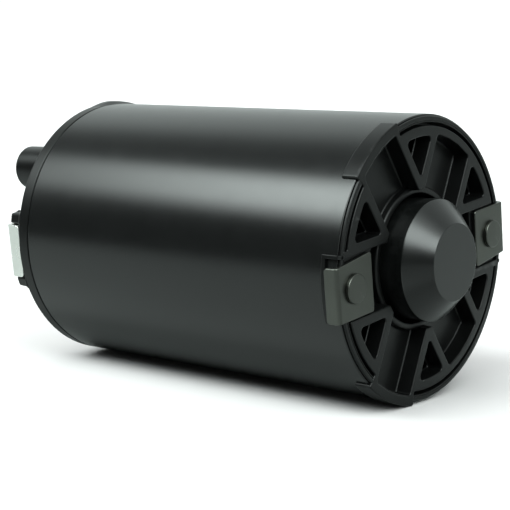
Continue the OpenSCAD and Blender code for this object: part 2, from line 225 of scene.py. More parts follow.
def pocket(middle, circle, half, fillet=3.0):
    """Three-cornered pocket between two ribs, about its middle angle."""
    corners = [
        Corner(middle - 30, half, circle, 1, -1, fillet),
        Corner(middle + 30, -half, circle, -1, -1, fillet, inward=True),
    ]

    def loop(grow):
        h, f = half - grow, fillet * 0.7 + grow
        centre = turned(middle, 2 * (h + f), 0)
        low, high = math.radians(middle + 120), math.radians(middle + 240)
        return outline(corners, grow) + arc(centre, f, low, high, 8)

    return loop


# ---------------------------------------------------------------- meshes
def finish_mesh(name, bm, sharp=35):
    """Object with smooth faces, parted by sharp edges above that many degrees."""
    bmesh.ops.remove_doubles(bm, verts=bm.verts, dist=2e-7)
    bmesh.ops.dissolve_degenerate(bm, edges=bm.edges, dist=1e-8)
    bmesh.ops.recalc_face_normals(bm, faces=bm.faces)
    mesh = bpy.data.meshes.new(name)
    bm.to_mesh(mesh)
    bm.free()
    for polygon in mesh.polygons:
        polygon.use_smooth = True
    mesh.set_sharp_from_angle(angle=math.radians(sharp))
    obj = bpy.data.objects.new(name, mesh)
    bpy.context.scene.collection.objects.link(obj)
    weighted = obj.modifiers.new("weighted", "WEIGHTED_NORMAL")
    weighted.keep_sharp = True
    weighted.weight = 80
    return obj


# How far the underside of a moulded block lies below its floor
BELOW_FLOOR = 0.7


def add_loop(bm, pts, w, place):
    return [bm.verts.new(place(x, y, w)) for x, y in pts]


def skin(bm, rings):
    """Faces between each ring of vertices and the next."""
    for low, high in zip(rings, rings[1:]):
        for i in range(len(low)):
            j = (i + 1) % len(low)
            bm.faces.new((low[i], low[j], high[j], high[i]))


def fill(bm, loops):
    """Flat face inside the first loop and outside the others, worked out in millimetres."""
    verts = [vert for loop in loops for vert in loop]
    for triangle in tessellate_polygon([[vert.co / MM for vert in loop] for loop in loops]):
        bm.faces.new([verts[i] for i in triangle])


def walls(top, floor, fillet=0.9, draft=0.6, foot=1.2, steps=5):
    """Levels (w, growth) of a moulded wall, as its rounded top edge and its drafted, rounded foot."""
    edge_levels, foot_levels = [], []
    for across, along in quarters(steps):
        edge_levels.append((top - fillet * along, -fillet * across))
        foot_levels.append((floor + foot * across, draft + foot * along))
    return edge_levels, foot_levels


def island(name, place, rings, wells, well_levels, floor):
    """Moulded block: rings of (w, outline) are its sides, and wells are the outlines sunk into its top."""
    bm = bmesh.new()
    sides = [add_loop(bm, pts, w, place) for w, pts in rings]
    sides.append(add_loop(bm, rings[-1][1], floor - BELOW_FLOOR, place))
    skin(bm, sides)
    fill(bm, [sides[-1]])
    tops = [sides[0]]
    for well in wells:
        steps = [add_loop(bm, well(-grow), w, place) for w, grow in well_levels]
        skin(bm, steps)
        fill(bm, [steps[-1]])
        tops.append(steps[0])
    fill(bm, tops)
    return finish_mesh(name, bm)


def revolve(name, profile, place, segments=192, sharp=35):
    """Solid turned about the local axis from a closed polygon of (radius, w)."""
    bm = bmesh.new()
    rings = []
    for k in range(segments):
        a = 2 * math.pi * k / segments
        rings.append([bm.verts.new(place(r * math.cos(a), r * math.sin(a), w)) for r, w in profile])
    skin(bm, rings + rings[:1])
    return finish_mesh(name, bm, sharp)


def sweep(name, sections, place):
    """Closed solid through a row of sections, each a list of (x, y, w)."""
    bm = bmesh.new()
    rings = [[bm.verts.new(place(*p)) for p in section] for section in sections]
    skin(bm, rings)
    for end in (rings[0], rings[-1]):
        fill(bm, [end])
    return finish_mesh(name, bm)


def prism(name, points, place, w0, w1, edge=0.6, steps=4):
    """Plate of the filleted polygon between w0 and w1 with rounded edges on both faces."""
    bm = bmesh.new()
    levels = [(w0 + edge * across, -edge * along) for across, along in quarters(steps)[::-1]]
    levels += [(w0 + w1 - w, grow) for w, grow in levels[::-1]]
    rings = [add_loop(bm, filleted(points, grow), w, place) for w, grow in levels]
    skin(bm, rings)
    fill(bm, [rings[0]])
    fill(bm, [rings[-1]])
    return finish_mesh(name, bm)


def rounded_off(radius, inset):
    """How much a corner of that radius takes off its side at a distance from its end."""
    return radius - math.sqrt(max(radius**2 - max(radius - inset, 0.0) ** 2, 0.0))


def strip(name, place, path, sides, thick, plan=2.6, edge=0.45):
    """Steel strip bent along a path of (x, w) points, with rounded plan corners and edges.

    The path is the middle line; it is sampled with its normals, and sides(x) gives the two side lines.
    """
    lengths = [0.0]
    for (x0, w0), (x1, w1) in zip(path, path[1:]):
        lengths.append(lengths[-1] + math.hypot(x1 - x0, w1 - w0))
    total = lengths[-1]
    near_end = [edge * quarter(k, 4)[1] for k in range(1, 5)]
    near_end += [plan * quarter(k, 8)[1] for k in range(1, 9)]
    sections = []
    for s in sorted({*lengths, *near_end, *(total - d for d in near_end)}):
        i = max(j for j in range(len(path) - 1) if lengths[j] <= s + 1e-9)
        t = (s - lengths[i]) / (lengths[i + 1] - lengths[i])
        x = path[i][0] + (path[i + 1][0] - path[i][0]) * t
        w = path[i][1] + (path[i + 1][1] - path[i][1]) * t
        j = i if t < 0.5 or i + 2 >= len(path) else i + 1
        a, b = path[max(j - 1, 0) if t < 1e-6 and i else i], path[i + 1]
        nx, nw = -(b[1] - a[1]), b[0] - a[0]
        size = math.hypot(nx, nw)
        nx, nw = nx / size, nw / size
        inset = min(s, total - s)
        cut, thin = rounded_off(plan, inset), rounded_off(edge, inset)
        low, high = sides(x)
        low, high, b = low + cut + thin, high - cut - thin, thick / 2 - thin
        r = max(edge - thin, 0.02)
        box = filleted([(low, -b, r), (high, -b, r), (high, b, r), (low, b, r)], steps=4)
        sections.append([(x + nx * q, p, w + nw * q) for p, q in box])
    return sweep(name, sections, place)


def bent(points, radius, steps=10):
    """Middle line through (x, w) points with its corner rounded."""
    (ax, aw), (bx, bw), (cx, cw) = points
    d0 = Vector((ax - bx, aw - bw)).normalized()
    d1 = Vector((cx - bx, cw - bw)).normalized()
    reach = radius / math.tan(d0.angle(d1) / 2)
    centre = Vector((bx, bw)) + (d0 + d1).normalized() * (radius / math.sin(d0.angle(d1) / 2))
    start, end = Vector((bx, bw)) + d0 * reach, Vector((bx, bw)) + d1 * reach
    a0 = math.atan2(start.y - centre.y, start.x - centre.x)
    a1 = math.atan2(end.y - centre.y, end.x - centre.x)
    return [(ax, aw)] + arc(centre, radius, a0, short_way(a0, a1), steps) + [(cx, cw)]


# ---------------------------------------------------------------- materials
def feed(links, socket, value):
    """Links a socket to the value's output, or sets it when the value is a constant."""
    if hasattr(value, "default_value"):
        links.new(value, socket)
    else:
        socket.default_value = value


FINISHES = {}


def material(
    name,
    base,
    rough,
    metallic=0.0,
    tint=0.25,
    rough_vary=0.06,
    grain=(900.0, 0.05),
    wear=(0.5, 0.05),
    specular=0.5,
    wear_and_sheen_lift=0.02,
):
    """Adds to FINISHES a Principled material with uneven colour, roughness and surface, and edges lightened
    by wear and by painted highlight.

    grain is the scale and strength of the bump, and wear the pointiness where the lightened edges start and
    their amount.
    """
    mat = bpy.data.materials.new(name)
    mat.use_nodes = True
    nodes, links = mat.node_tree.nodes, mat.node_tree.links
    shader = nodes["Principled BSDF"]
    shader.inputs["Metallic"].default_value = metallic
    shader.inputs["Specular IOR Level"].default_value = specular
    coords = nodes.new("ShaderNodeTexCoord")

    def noise(scale, detail=4.0):
        node = nodes.new("ShaderNodeTexNoise")
        node.inputs["Scale"].default_value = scale
        node.inputs["Detail"].default_value = detail
        node.inputs["Roughness"].default_value = 0.55
        links.new(coords.outputs["Object"], node.inputs["Vector"])
        return node.outputs["Fac"]

    def ranged(value, low, high, out_low, out_high):
        node = nodes.new("ShaderNodeMapRange")
        node.inputs["From Min"].default_value = low
        node.inputs["From Max"].default_value = high
        node.inputs["To Min"].default_value = out_low
        node.inputs["To Max"].default_value = out_high
        links.new(value, node.inputs["Value"])
        return node.outputs["Result"]

    def mixed(factor, first, second):
        node = nodes.new("ShaderNodeMix")
        node.data_type = "RGBA"
        for socket, value in ((node.inputs[0], factor), (node.inputs[6], first), (node.inputs[7], second)):
            feed(links, socket, value)
        return node.outputs[2]

    def shade(factor, offset=0.0):
        return tuple(min(c * factor + offset, 1.0) for c in base) + (1,)

    clouded = mixed(ranged(noise(28.0), 0.35, 0.65, 0.0, 1.0), shade(1 - tint), shade(1 + tint))
    speckled = mixed(ranged(noise(1400.0, 2.0), 0.4, 0.7, 0.0, 0.35), clouded, shade(1 + tint * 0.8))
    # Edges found by pointiness get a lighter colour: wear, and on the cap plastic a painted highlight along
    # its fillets and tab edges.
    pointed = nodes.new("ShaderNodeNewGeometry").outputs["Pointiness"]
    wear_and_sheen_mask = nodes.new("ShaderNodeMath")
    wear_and_sheen_mask.operation = "MULTIPLY"
    links.new(ranged(pointed, wear[0] + 0.01, wear[0] + 0.09, 0.0, wear[1]), wear_and_sheen_mask.inputs[0])
    links.new(ranged(noise(160.0, 5.0), 0.4, 0.62, 0.0, 1.0), wear_and_sheen_mask.inputs[1])
    links.new(mixed(wear_and_sheen_mask.outputs[0], speckled, shade(2.2, wear_and_sheen_lift)), shader.inputs["Base Color"])
    uneven = ranged(noise(75.0, 5.0), 0.3, 0.7, rough - rough_vary, rough + rough_vary)
    links.new(uneven, shader.inputs["Roughness"])
    bump = nodes.new("ShaderNodeBump")
    bump.inputs["Strength"].default_value = grain[1]
    bump.inputs["Distance"].default_value = 0.0004
    links.new(noise(grain[0], 3.0), bump.inputs["Height"])
    links.new(bump.outputs["Normal"], shader.inputs["Normal"])
    FINISHES[name] = mat


def metal(name, base, rough, **more):
    material(name, base, rough, metallic=1.0, **more)


material(
    "tube_paint",
    (0.003, 0.0032, 0.0032),
    0.21,
    tint=0.1,
    rough_vary=0.012,
    grain=(380.0, 0.01),
    wear=(0.5, 0.2),
    specular=0.41,
)
# Cap plastic: its strong edge lightening is painted highlight along the fillets and tab edges.
material(
    "cap_plastic",
    (0.002, 0.0021, 0.0021),
    0.33,
    tint=0.15,
    rough_vary=0.03,
    grain=(1500.0, 0.02),
    wear=(0.51, 0.8),
    specular=0.22,
    wear_and_sheen_lift=0.04,
)
material(
    "nose_plastic",
    (0.0027, 0.003, 0.0029),
    0.25,
    tint=0.08,
    rough_vary=0.015,
    grain=(1200.0, 0.006),
    wear=(0.56, 0.1),
)
metal(
    "clip_steel",
    (0.085, 0.088, 0.079),
    0.34,
    tint=0.06,
    rough_vary=0.03,
    grain=(900.0, 0.02),
    wear=(0.53, 0.4),
)
metal("rear_clip_zinc", (0.72, 0.72, 0.69), 0.3, tint=0.08, grain=(420.0, 0.2), wear=(0.5, 0.3))
material("seal_rubber", (0.012, 0.012, 0.012), 0.6, grain=(1200.0, 0.3))
metal("bright_steel", (0.5, 0.51, 0.52), 0.3, tint=0.1, grain=(600.0, 0.2), wear=(0.5, 0.5))
metal("spring_steel", (0.3, 0.31, 0.32), 0.35, tint=0.15, grain=(500.0, 0.2), wear=(0.5, 0.4))
metal("piston_aluminium", (0.55, 0.56, 0.57), 0.35, tint=0.08, grain=(500.0, 0.2), wear=(0.5, 0.4))
material("ring_plastic", (0.68, 0.65, 0.55), 0.4, tint=0.06, grain=(900.0, 0.15))
material("wear_ring_plastic", (0.11, 0.075, 0.045), 0.5, tint=0.15, grain=(700.0, 0.3))
metal("port_brass", (0.6, 0.42, 0.16), 0.3, tint=0.1, grain=(600.0, 0.2), wear=(0.5, 0.5))


def finish(obj, slot, node, body="tank"):
    """Gives a piece its material and body, and hides the CAD node that it stands for."""
    obj.data.materials.append(FINISHES[slot])
    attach(obj, body)
    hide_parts(node)


def cap_part(obj, place):
    finish(obj, "cap_plastic", "front_cap" if place is front else "rear_cap")


# ---------------------------------------------------------------- tube
BORE_R = 96.6
TUBE_LENGTH = (FRONT_X - REAR_X) / MM
tube_profile = [(BORE_R, -TUBE_LENGTH, 0.4), (TUBE_R, -TUBE_LENGTH, 0.9), (TUBE_R, 0, 0.9), (BORE_R, 0, 0.4)]
finish(revolve("tank_tube", filleted(tube_profile), front, segments=320), "tube_paint", "shell")

# ---------------------------------------------------------------- front cap
# HALF is half a channel's width, and STRIP is the same with the rib beside it
RIB_TOP, FLOOR = 2.0, -10.0
HALF, STRIP = 21.5, 28.5
R_TAB, R_SKIRT, R_RIM, R_HUB = 101.95, 96.2, 92.0, 49.0
R_BLIND, R_OPEN, R_POCKET = 86.5, 95.0, 85.0
# Tabs: half their angle, where they stop on the tube, and the height down to which they reach outwards
TAB_HALF = 16.0
TAB_END = -11.4
TAB_FOOT = 0.15
CLIP_W, CLIP_T, CLIP_TAPER, LEG_END = 41.0, 3.0, 3.5, -7.5
# Angles of the guard and the lip round each clip's leg
FLANK_FROM, FLANK_TO, CLIP_SIDE = -14.2, 12.3, 12.75


def half_cap(first, channels, tab_r):
    """Corners of the moulded face from the clip at angle first to the clip opposite."""
    last = first + 180
    corners = [Corner(first, HALF, R_RIM, 1, -1, 1.2, fixed=True)]
    for middle, open_end in channels:
        if open_end:
            corners += [
                Corner(middle - TAB_HALF, 0, R_RIM, 1, -1, 1.4, convex=False, inward=True, fixed=True),
                Corner(middle - TAB_HALF, 0, tab_r, 1, -1, 1.2, fixed=True),
                Corner(middle + TAB_HALF, 0, tab_r, -1, -1, 1.2, inward=True, fixed=True),
                Corner(middle + TAB_HALF, 0, R_RIM, -1, -1, 1.4, convex=False, fixed=True),
            ]
    corners += [
        Corner(last - TAB_HALF, 0, R_RIM, 1, -1, 1.4, convex=False, inward=True, fixed=True),
        Corner(last - TAB_HALF, 0, R_SKIRT, 1, -1, 1.2, fixed=True),
        Corner(last, -HALF, R_SKIRT, -1, -1, 1.0, inward=True, fixed=True),
        Corner(last, -HALF, R_HUB, -1, 1, 1.3),
    ]
    for middle, open_end in channels[::-1]:
        end = R_OPEN if open_end else R_BLIND
        corners += [
            Corner(middle, HALF, R_HUB, 1, 1, 1.3, inward=True),
            Corner(middle, HALF, end, 1, 1, 3.0, convex=False),
            Corner(middle, -HALF, end, -1, 1, 3.0, convex=False, inward=True),
            Corner(middle, -HALF, R_HUB, -1, 1, 1.3),
        ]
    corners.append(Corner(first, HALF, R_HUB, 1, 1, 1.3, inward=True))
    return corners


def front_face(name, first, channels):
    """Half of the moulded face, out to the tabs' circle above their foot and to the skirt's below it."""
    edge_levels, foot_levels = walls(RIB_TOP, FLOOR)
    step = [(TAB_FOOT, 0.0)]
    over, under = half_cap(first, channels, R_TAB), half_cap(first, channels, R_SKIRT)
    rings = [(w, outline(over, grow)) for w, grow in edge_levels + step]
    rings += [(w, outline(under, grow)) for w, grow in step + foot_levels]
    wells = [pocket(first + a, R_POCKET, STRIP) for a in (30, 90, 150)]
    cap_part(island(name, front, rings, wells, edge_levels + step + foot_levels, FLOOR), front)


front_face("front_cap_face_1", 0, [(60, False), (120, True)])
front_face("front_cap_face_2", 180, [(240, True), (300, False)])

# Hub collar, skirt in the bore, rim with its raised lip, and the floor between the ribs
FRONT_BASE = [
    (45.0, -36.0, 0.6),
    (50.0, -36.0, 0.6),
    (50.0, -19.0, 0.6),
    (89.9, -19.0, 2.0),
    (89.9, -48.0, 0.8),
    (96.4, -48.0, 0.8),
    (96.4, 0.25, 0.1),
    (98.6, 0.25, 0.3),
    (98.6, 1.9, 0.8),
    (96.0, 1.9, 0.4),
    (95.8, 1.3, 0.3),
    (95.3, 1.3, 0.2),
    (95.1, 1.8, 0.3),
    (94.5, 1.8, 0.3),
    (94.5, FLOOR, 0.3),
    (50.0, FLOOR, 1.4),
    (50.0, -4.5, 1.9),
    (45.0, -4.5, 1.9),
]
cap_part(revolve("front_cap_base", filleted(FRONT_BASE), front, segments=256), front)

for number, angle in enumerate((0, 180), 1):
    plate = [(61, -21.6, 1.0), (93.6, -21.6, 0.5), (93.6, 21.6, 0.5), (61, 21.6, 1.0)]
    cap_part(prism(f"front_clip_pad_{number}", plate, at(front, angle), FLOOR - 0.4, -0.02), front)


# Radii of the lips along the tube, and the degrees between their sections
LIP_INNER, LIP_OUTER = 100.12, 101.93
LIP_STEP = 1.2


def tab_leg(name, place, angle, start, end, w0, w1, edge=0.85, lead=0.7):
    """Curved lip of a tab along the tube, between two angles about the tab's middle.

    edge rounds its outer side at both ends and lead rounds the outer side where the tab stops on the tube.
    """
    count = max(3, int((end - start) / LIP_STEP))
    rounding = [(edge * across, math.degrees(edge * along / LIP_INNER)) for across, along in quarters(6)]
    spots = [(start + turn, inset) for inset, turn in rounding]
    spots += [(start + (end - start) * k / count, 0.0) for k in range(1, count)]
    spots += [(end - turn, inset) for inset, turn in rounding[::-1]]
    sections = []
    for spot, inset in spots:
        low, top = w0 + 0.6 * inset, LIP_OUTER - inset
        box = [(LIP_INNER, low, 0.1), (top, low, max(lead - inset, 0.05))]
        box += [(top, w1, 0.02), (LIP_INNER, w1, 0.02)]
        sections.append(section_at(angle + spot, filleted(box, steps=6)))
    cap_part(sweep(name, sections, place), place)


def section_at(angle, points):
    """The (radius, w) points stood up at an angle of the pattern."""
    return [(*turned(angle, r, 0), w) for r, w in points]


def tab_root(name, place, angle, start, end, inner, outer, w0, w1):
    """Curved bar that joins a tab to its cap, with its outer front edge rounded."""
    box = filleted([(inner, w0, 0.1), (outer, w0, 0.1), (outer, w1, 0.6), (inner, w1, 0.1)], steps=4)
    steps = 14
    sections = [section_at(angle + start + (end - start) * k / steps, box) for k in range(steps + 1)]
    cap_part(sweep(name, sections, place), place)


for number, angle in enumerate((120, 240), 1):
    tab_leg(f"front_tab_{number}", front, angle, -TAB_HALF, TAB_HALF, TAB_END, 1.0, edge=1.5, lead=1.2)
flank_root = (FLANK_FROM + 0.05, -CLIP_SIDE - 0.05)
tab_root("front_clip_flank_root_1", front, 0, *flank_root, 95.0, 99.7, 0.2, 1.9)
tab_root("front_clip_flank_root_2", front, 180, *flank_root, 95.0, 101.88, 0.2, 1.9)
tab_leg("front_clip_flank_2", front, 180, FLANK_FROM, -CLIP_SIDE, TAB_END, 1.0, edge=0.5)
for number, angle in enumerate((0, 180), 1):
    tab_leg(f"front_clip_lip_{number}", front, angle, FLANK_FROM, FLANK_TO, TAB_END, LEG_END - 0.5)

# ---------------------------------------------------------------- clips and rivets
REAR_FLOOR, REAR_TOP, REAR_RIB = 11.0, 22.0, 88.0
CLIP_FROM, TAPER_OVER, FRONT_LEG_R, REAR_LEG_R = 64.0, 38.0, 101.7, 96.9
RIVET_R, RIVET_H = 84.5, 2.6


def straight(_x):
    """Side lines of a rear clip."""
    return -CLIP_W / 2, CLIP_W / 2


def tapered(x):
    """Side lines of a front clip, which narrows towards the tube on one side."""
    return CLIP_TAPER * (x - CLIP_FROM) / TAPER_OVER - CLIP_W / 2, CLIP_W / 2


def rivet(name, place, base, slot, node):
    """Low domed head with a small undercut at its seat."""
    low, top = base + 0.35, base + RIVET_H
    head = [(0, base, 0), (HEAD_R - 0.25, base, 0.1), (HEAD_R, low, 0.2), (HEAD_R, top - 0.1, 0.7)]
    head += [(HEAD_R * 0.45, top, 4.0), (0, top, 0)]
    finish(revolve(name, filleted(head, steps=6), place, 64), slot, node)


for angle, side in ((0, "right"), (180, "left")):
    middle = CLIP_T / 2
    path = bent([(CLIP_FROM, middle), (FRONT_LEG_R, middle), (FRONT_LEG_R, LEG_END)], 2.0)
    plate = strip(f"front_clip_plate_{side}", at(front, angle), path, tapered, CLIP_T, edge=0.9)
    finish(plate, "clip_steel", f"front_clip_{side}")
    place = at(front, angle, RIVET_R)
    rivet(f"front_rivet_{side}", place, CLIP_T, "clip_steel", "front_clip_rivets")
    middle = REAR_TOP + CLIP_T / 2
    path = bent([(CLIP_FROM, middle), (REAR_LEG_R, middle), (REAR_LEG_R, REAR_FLOOR + 0.2)], 2.6)
    plate = strip(f"rear_clip_plate_{side}", at(rear, angle), path, straight, CLIP_T)
    finish(plate, "rear_clip_zinc", f"rear_clip_{side}")
    place = at(rear, angle, RIVET_R)
    rivet(f"rear_rivet_{side}", place, REAR_TOP + CLIP_T, "rear_clip_zinc", "rear_clip_rivets")

# ---------------------------------------------------------------- nose
# Hollow cone that slips over the stem
NOSE = [
    (0, 23.0, 0),
    (24.7, 23.0, 1.0),
    (35.0, 9.7, 1.0),
    (35.7, 5.0, 0.3),
    (35.7, -8.0, 0.3),
    (38.7, -8.0, 0.3),
    (38.7, 6.0, 0.2),
    (42.5, 6.0, 0.4),
    (42.5, 10.7, 1.3),
    (26.7, 26.0, 0.7),
    (0, 26.0, 0),
]
nose = revolve("nose_cone_moulding", filleted(NOSE, steps=7), front, segments=256)
finish(nose, "nose_plastic", "nose_cone", "piston")

# ---------------------------------------------------------------- rear cap
HUB_W, STUB_A, STUB_R, STUB_W = 27.0, 133.7, 79.0, 40.0
BLEED_A, BLEED_R = 90.0, 73.0
# Guards beside the clips, the seat between them, and the two ends of the channels
GUARD_HALF, GUARD_R, SEAT_R = 29.0, 98.5, 95.2
REAR_START, REAR_END = 25.0, 81.0


def rear_outline(grow):
    """Outside of the rear face, with guards beside each clip's seat."""
    corners = []
    for a in (180, 0):
        corners += [
            Corner(a + 180, GUARD_HALF, REAR_RIB, 1, -1, 2.6, convex=False),
            Corner(a, -GUARD_HALF, REAR_RIB, -1, -1, 2.6, convex=False, inward=True),
            Corner(a, -GUARD_HALF, GUARD_R, 1, -1, 2.0),
            Corner(a, -HALF, GUARD_R, -1, -1, 1.2, inward=True),
            Corner(a, -HALF, SEAT_R, -1, -1, 0.8, convex=False),
            Corner(a, HALF, SEAT_R, 1, -1, 0.8, convex=False, inward=True),
            Corner(a, HALF, GUARD_R, 1, -1, 1.2),
            Corner(a, GUARD_HALF, GUARD_R, -1, -1, 2.0, inward=True),
        ]
    return outline(corners, grow)


def rear_well(middle):
    """Two channels side by side, joined round the hub boss."""
    a, b = middle - 30, middle + 30
    corners = [
        Corner(a, -HALF, REAR_START, 1, 1, 0.5, inward=True),
        Corner(a, -HALF, REAR_END, 1, -1, 3.0),
        Corner(a, HALF, REAR_END, -1, -1, 3.0, inward=True),
        Corner(b, -HALF, REAR_END, 1, -1, 3.0),
        Corner(b, HALF, REAR_END, -1, -1, 3.0, inward=True),
        Corner(b, HALF, REAR_START, -1, 1, 0.5),
    ]

    def loop(grow):
        pts = []
        for i, corner in enumerate(corners):
            own = corner.points(grow)
            pts += own
            if i == 2:
                h, f = HALF + grow, max(2.0 - grow, 0.3)
                low, high = math.radians(middle + 240), math.radians(middle + 120)
                pts += arc(turned(middle, 2 * (h + f), 0), f, low, high, 6)
            elif not corner.inward:
                pts += rim_arc(own[-1], corners[(i + 1) % len(corners)].points(grow)[0], 12)
        return pts

    return loop


edge_levels, foot_levels = walls(REAR_TOP, REAR_FLOOR)
rear_levels = edge_levels + foot_levels
rear_rings = [(w, rear_outline(grow)) for w, grow in rear_levels]
rear_wells = [rear_well(90), rear_well(270)] + [pocket(a, REAR_END, STRIP) for a in (30, 150, 210, 330)]
cap_part(island("rear_cap_face", rear, rear_rings, rear_wells, rear_levels, REAR_FLOOR), rear)

# Inner disc, skirt in the bore and the flange that covers the tube's end
REAR_FLANGE = [
    (19.95, 3.0, 0.4),
    (89.9, 3.0, 2.0),
    (89.9, -33.0, 0.8),
    (96.3, -33.0, 0.8),
    (96.3, 0.1, 0.2),
    (98.0, 0.1, 0.2),
    (98.0, 0.8, 0.2),
    (TUBE_R, 0.8, 0.7),
    (TUBE_R, 11.0, 1.6),
    (87.0, 11.0, 0.2),
    (86.0, 10.7, 0.2),
    (19.95, 10.7, 0.2),
]
cap_part(revolve("rear_cap_flange", filleted(REAR_FLANGE), rear, segments=256), rear)

hub_boss = [(20.0, 9.0, 0.2), (29.5, 9.0, 0.2), (28.6, 11.0, 1.4), (27.0, 25.5, 1.2), (22.0, 25.5, 0.3)]
hub_boss += [(20.0, 25.5, 0.3)]
cap_part(revolve("rear_hub_boss", filleted(hub_boss), rear, segments=128), rear)

port_stub = [(13.1, 9.5, 0.2), (18.6, 9.5, 0.2), (17.4, 11.6, 1.2), (16.8, 38.5, 1.4), (15.2, 38.5, 0.3)]
port_stub += [(13.1, 38.5, 0.3)]
at_stub = at(rear, STUB_A, STUB_R)
cap_part(revolve("rear_port_stub", filleted(port_stub), at_stub, segments=96), rear)

bleed_boss = [(4.2, 10.0, 0.2), (9.4, 10.0, 0.2), (8.6, 15.0, 0.9), (4.2, 15.0, 0.3)]
at_bleed = at(rear, BLEED_A, BLEED_R)
cap_part(revolve("rear_bleed_boss", filleted(bleed_boss), at_bleed, segments=64), rear)

LOWER_TAB, UPPER_TAB = 294.7, 67
tab_leg("rear_tab_lower", rear, LOWER_TAB, -TAB_HALF, TAB_HALF, -3.2, 10.8)
tab_root("rear_tab_root_lower", rear, LOWER_TAB, 0.1 - TAB_HALF, TAB_HALF - 0.1, 97.0, 100.6, 1.8, 10.78)

# The upper tab runs out in a long ramp on the side that faces the camera
RAMP, RAMP_STEPS, RISE_OVER = 16.0, 60, 1.5
RAMP_LOW = 99.6
sections = []
for k in range(RAMP_STEPS + 1):
    spot = -TAB_HALF + (2 * TAB_HALF + RAMP) * k / RAMP_STEPS
    rise = math.sin(math.pi / 2 * min((spot + TAB_HALF) / RISE_OVER, 1.0))
    fall = 0.5 - 0.5 * math.cos(math.pi * min((TAB_HALF + RAMP - spot) / RAMP, 1.0))
    top = RAMP_LOW + (LIP_OUTER - RAMP_LOW) * rise * fall
    shoulder = min(99.9, top - 0.05)
    box = [(99.0, 0.9, 0.1), (shoulder, 0.9, 0.1), (top, 5.5, 2.0), (top, 10.8, 0.4), (99.0, 10.8, 0.1)]
    sections.append(section_at(UPPER_TAB + spot, filleted(box, steps=4)))
cap_part(sweep("rear_tab_upper", sections, rear), rear)


# ---------------------------------------------------------------- ports and bleed screw
def threaded(name, node, place, inner, outer, back, mouth, pitch):
    """Brass insert with a thread-like bore and a lip at its mouth."""
    lip = outer + 2.0
    profile = [(outer, back), (outer, mouth - 1.5), (lip - 0.3, mouth - 1.5), (lip, mouth - 1.2)]
    profile += [(lip, mouth - 0.4), (lip - 0.4, mouth), (inner + 1.3, mouth)]
    w = mouth - 1.3
    while w - pitch > back + 0.6:
        profile += [(inner, w), (inner, w - pitch * 0.2), (inner + 0.9, w - pitch * 0.6)]
        w -= pitch
    profile += [(inner, w), (inner, back)]
    finish(revolve(name, profile, place, 96, sharp=25), "port_brass", node)


threaded("suction_port_thread", "suction_port_insert", rear, 15.3, 19.9, 3.0, HUB_W, 2.0)
threaded("return_port_thread", "return_port_insert", at_stub, 9.5, 13.1, 14.0, STUB_W, 1.6)

hexagon = [(*turned(60 * k, 6.4, 0), 0.5) for k in range(6)]
finish(prism("bleed_screw_head", hexagon, at_bleed, 16.5, 21.9, edge=0.7), "bright_steel", "bleed_screw")
shank = [(0, 4.0, 0), (3.4, 4.0, 0.5), (4.0, 5.0, 0.5), (4.0, 17.5, 0.2), (0, 17.5, 0)]
finish(revolve("bleed_screw_shank", filleted(shank), at_bleed, 48), "bright_steel", "bleed_screw")
washer = [(4.1, 15.0, 0.3), (7.2, 15.0, 0.5), (7.2, 16.5, 0.5), (4.1, 16.5, 0.3)]
finish(revolve("bleed_seal_washer", filleted(washer), at_bleed, 64), "port_brass", "bleed_washer")


# ---------------------------------------------------------------- return spring
def coil(name, radius, wire, w0, w1, turns, sides=16, per_turn=72):
    """Helix of round wire about the tank's axis, between the middles of its first and last turn."""
    bm = bmesh.new()
    rings = []
    steps = turns * per_turn
    for i in range(steps + 1):
        a = 2 * math.pi * i / per_turn
        w = w0 + (w1 - w0) * i / steps
        ring = []
        for k in range(sides):
            b = 2 * math.pi * k / sides
            r = radius + wire / 2 * math.cos(b)
            ring.append(bm.verts.new(front(r * math.cos(a), r * math.sin(a), w + wire / 2 * math.sin(b))))
        rings.append(ring)
    skin(bm, rings)
    bm.faces.new(rings[0])
    bm.faces.new(rings[-1])
    return finish_mesh(name, bm)


SPRING_LOW, SPRING_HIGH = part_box("return_spring")
SPRING_R, WIRE, TURNS, SPRING_END = 60.0, 6.4, 7, 3.25
spring_back = (SPRING_LOW.x - FRONT_X) / MM + SPRING_END
spring_front = (SPRING_HIGH.x - FRONT_X) / MM - SPRING_END
spring = coil("return_spring_coil", SPRING_R, WIRE, spring_back, spring_front, TURNS)
spring.data.materials.append(FINISHES["spring_steel"])
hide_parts("return_spring")
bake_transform(spring)

# ---------------------------------------------------------------- finishes of the CAD nodes
for part in frame["record"]["subparts"]:
    kept = frame["nodes"][part["node"]]
    kept.data.materials.clear()
    kept.data.materials.append(FINISHES[part["material_slot"]])

# ---------------------------------------------------------------- floor
SIZE = 14.0
mesh = bpy.data.meshes.new("floor")
mesh.from_pydata([(-SIZE, -SIZE, 0), (SIZE, -SIZE, 0), (SIZE, SIZE, 0), (-SIZE, SIZE, 0)], [], [(0, 1, 2, 3)])
floor = bpy.data.objects.new("floor", mesh)
floor.location.z = CAD_BOX[0].z
bpy.context.scene.collection.objects.link(floor)
pale = bpy.data.materials.new("pale_floor")
pale.use_nodes = True
shader = pale.node_tree.nodes["Principled BSDF"]
shader.inputs["Roughness"].default_value = 0.9
shader.inputs["Specular IOR Level"].default_value = 0.0
floor.data.materials.append(pale)


# ---------------------------------------------------------------- shading by direction and place
def math_node(tree, operation, first, second):
    node = tree.nodes.new("ShaderNodeMath")
    node.operation = operation
    for socket, value in zip(node.inputs, (first, second)):
        feed(tree.links, socket, value)
    return node.outputs[0]


def parted(tree, output):
    """X, Y and Z of one output of the texture coordinates."""
    coords = tree.nodes.new("ShaderNodeTexCoord")
    split = tree.nodes.new("ShaderNodeSeparateXYZ")
    tree.links.new(coords.outputs[output], split.inputs[0])
    return split.outputs


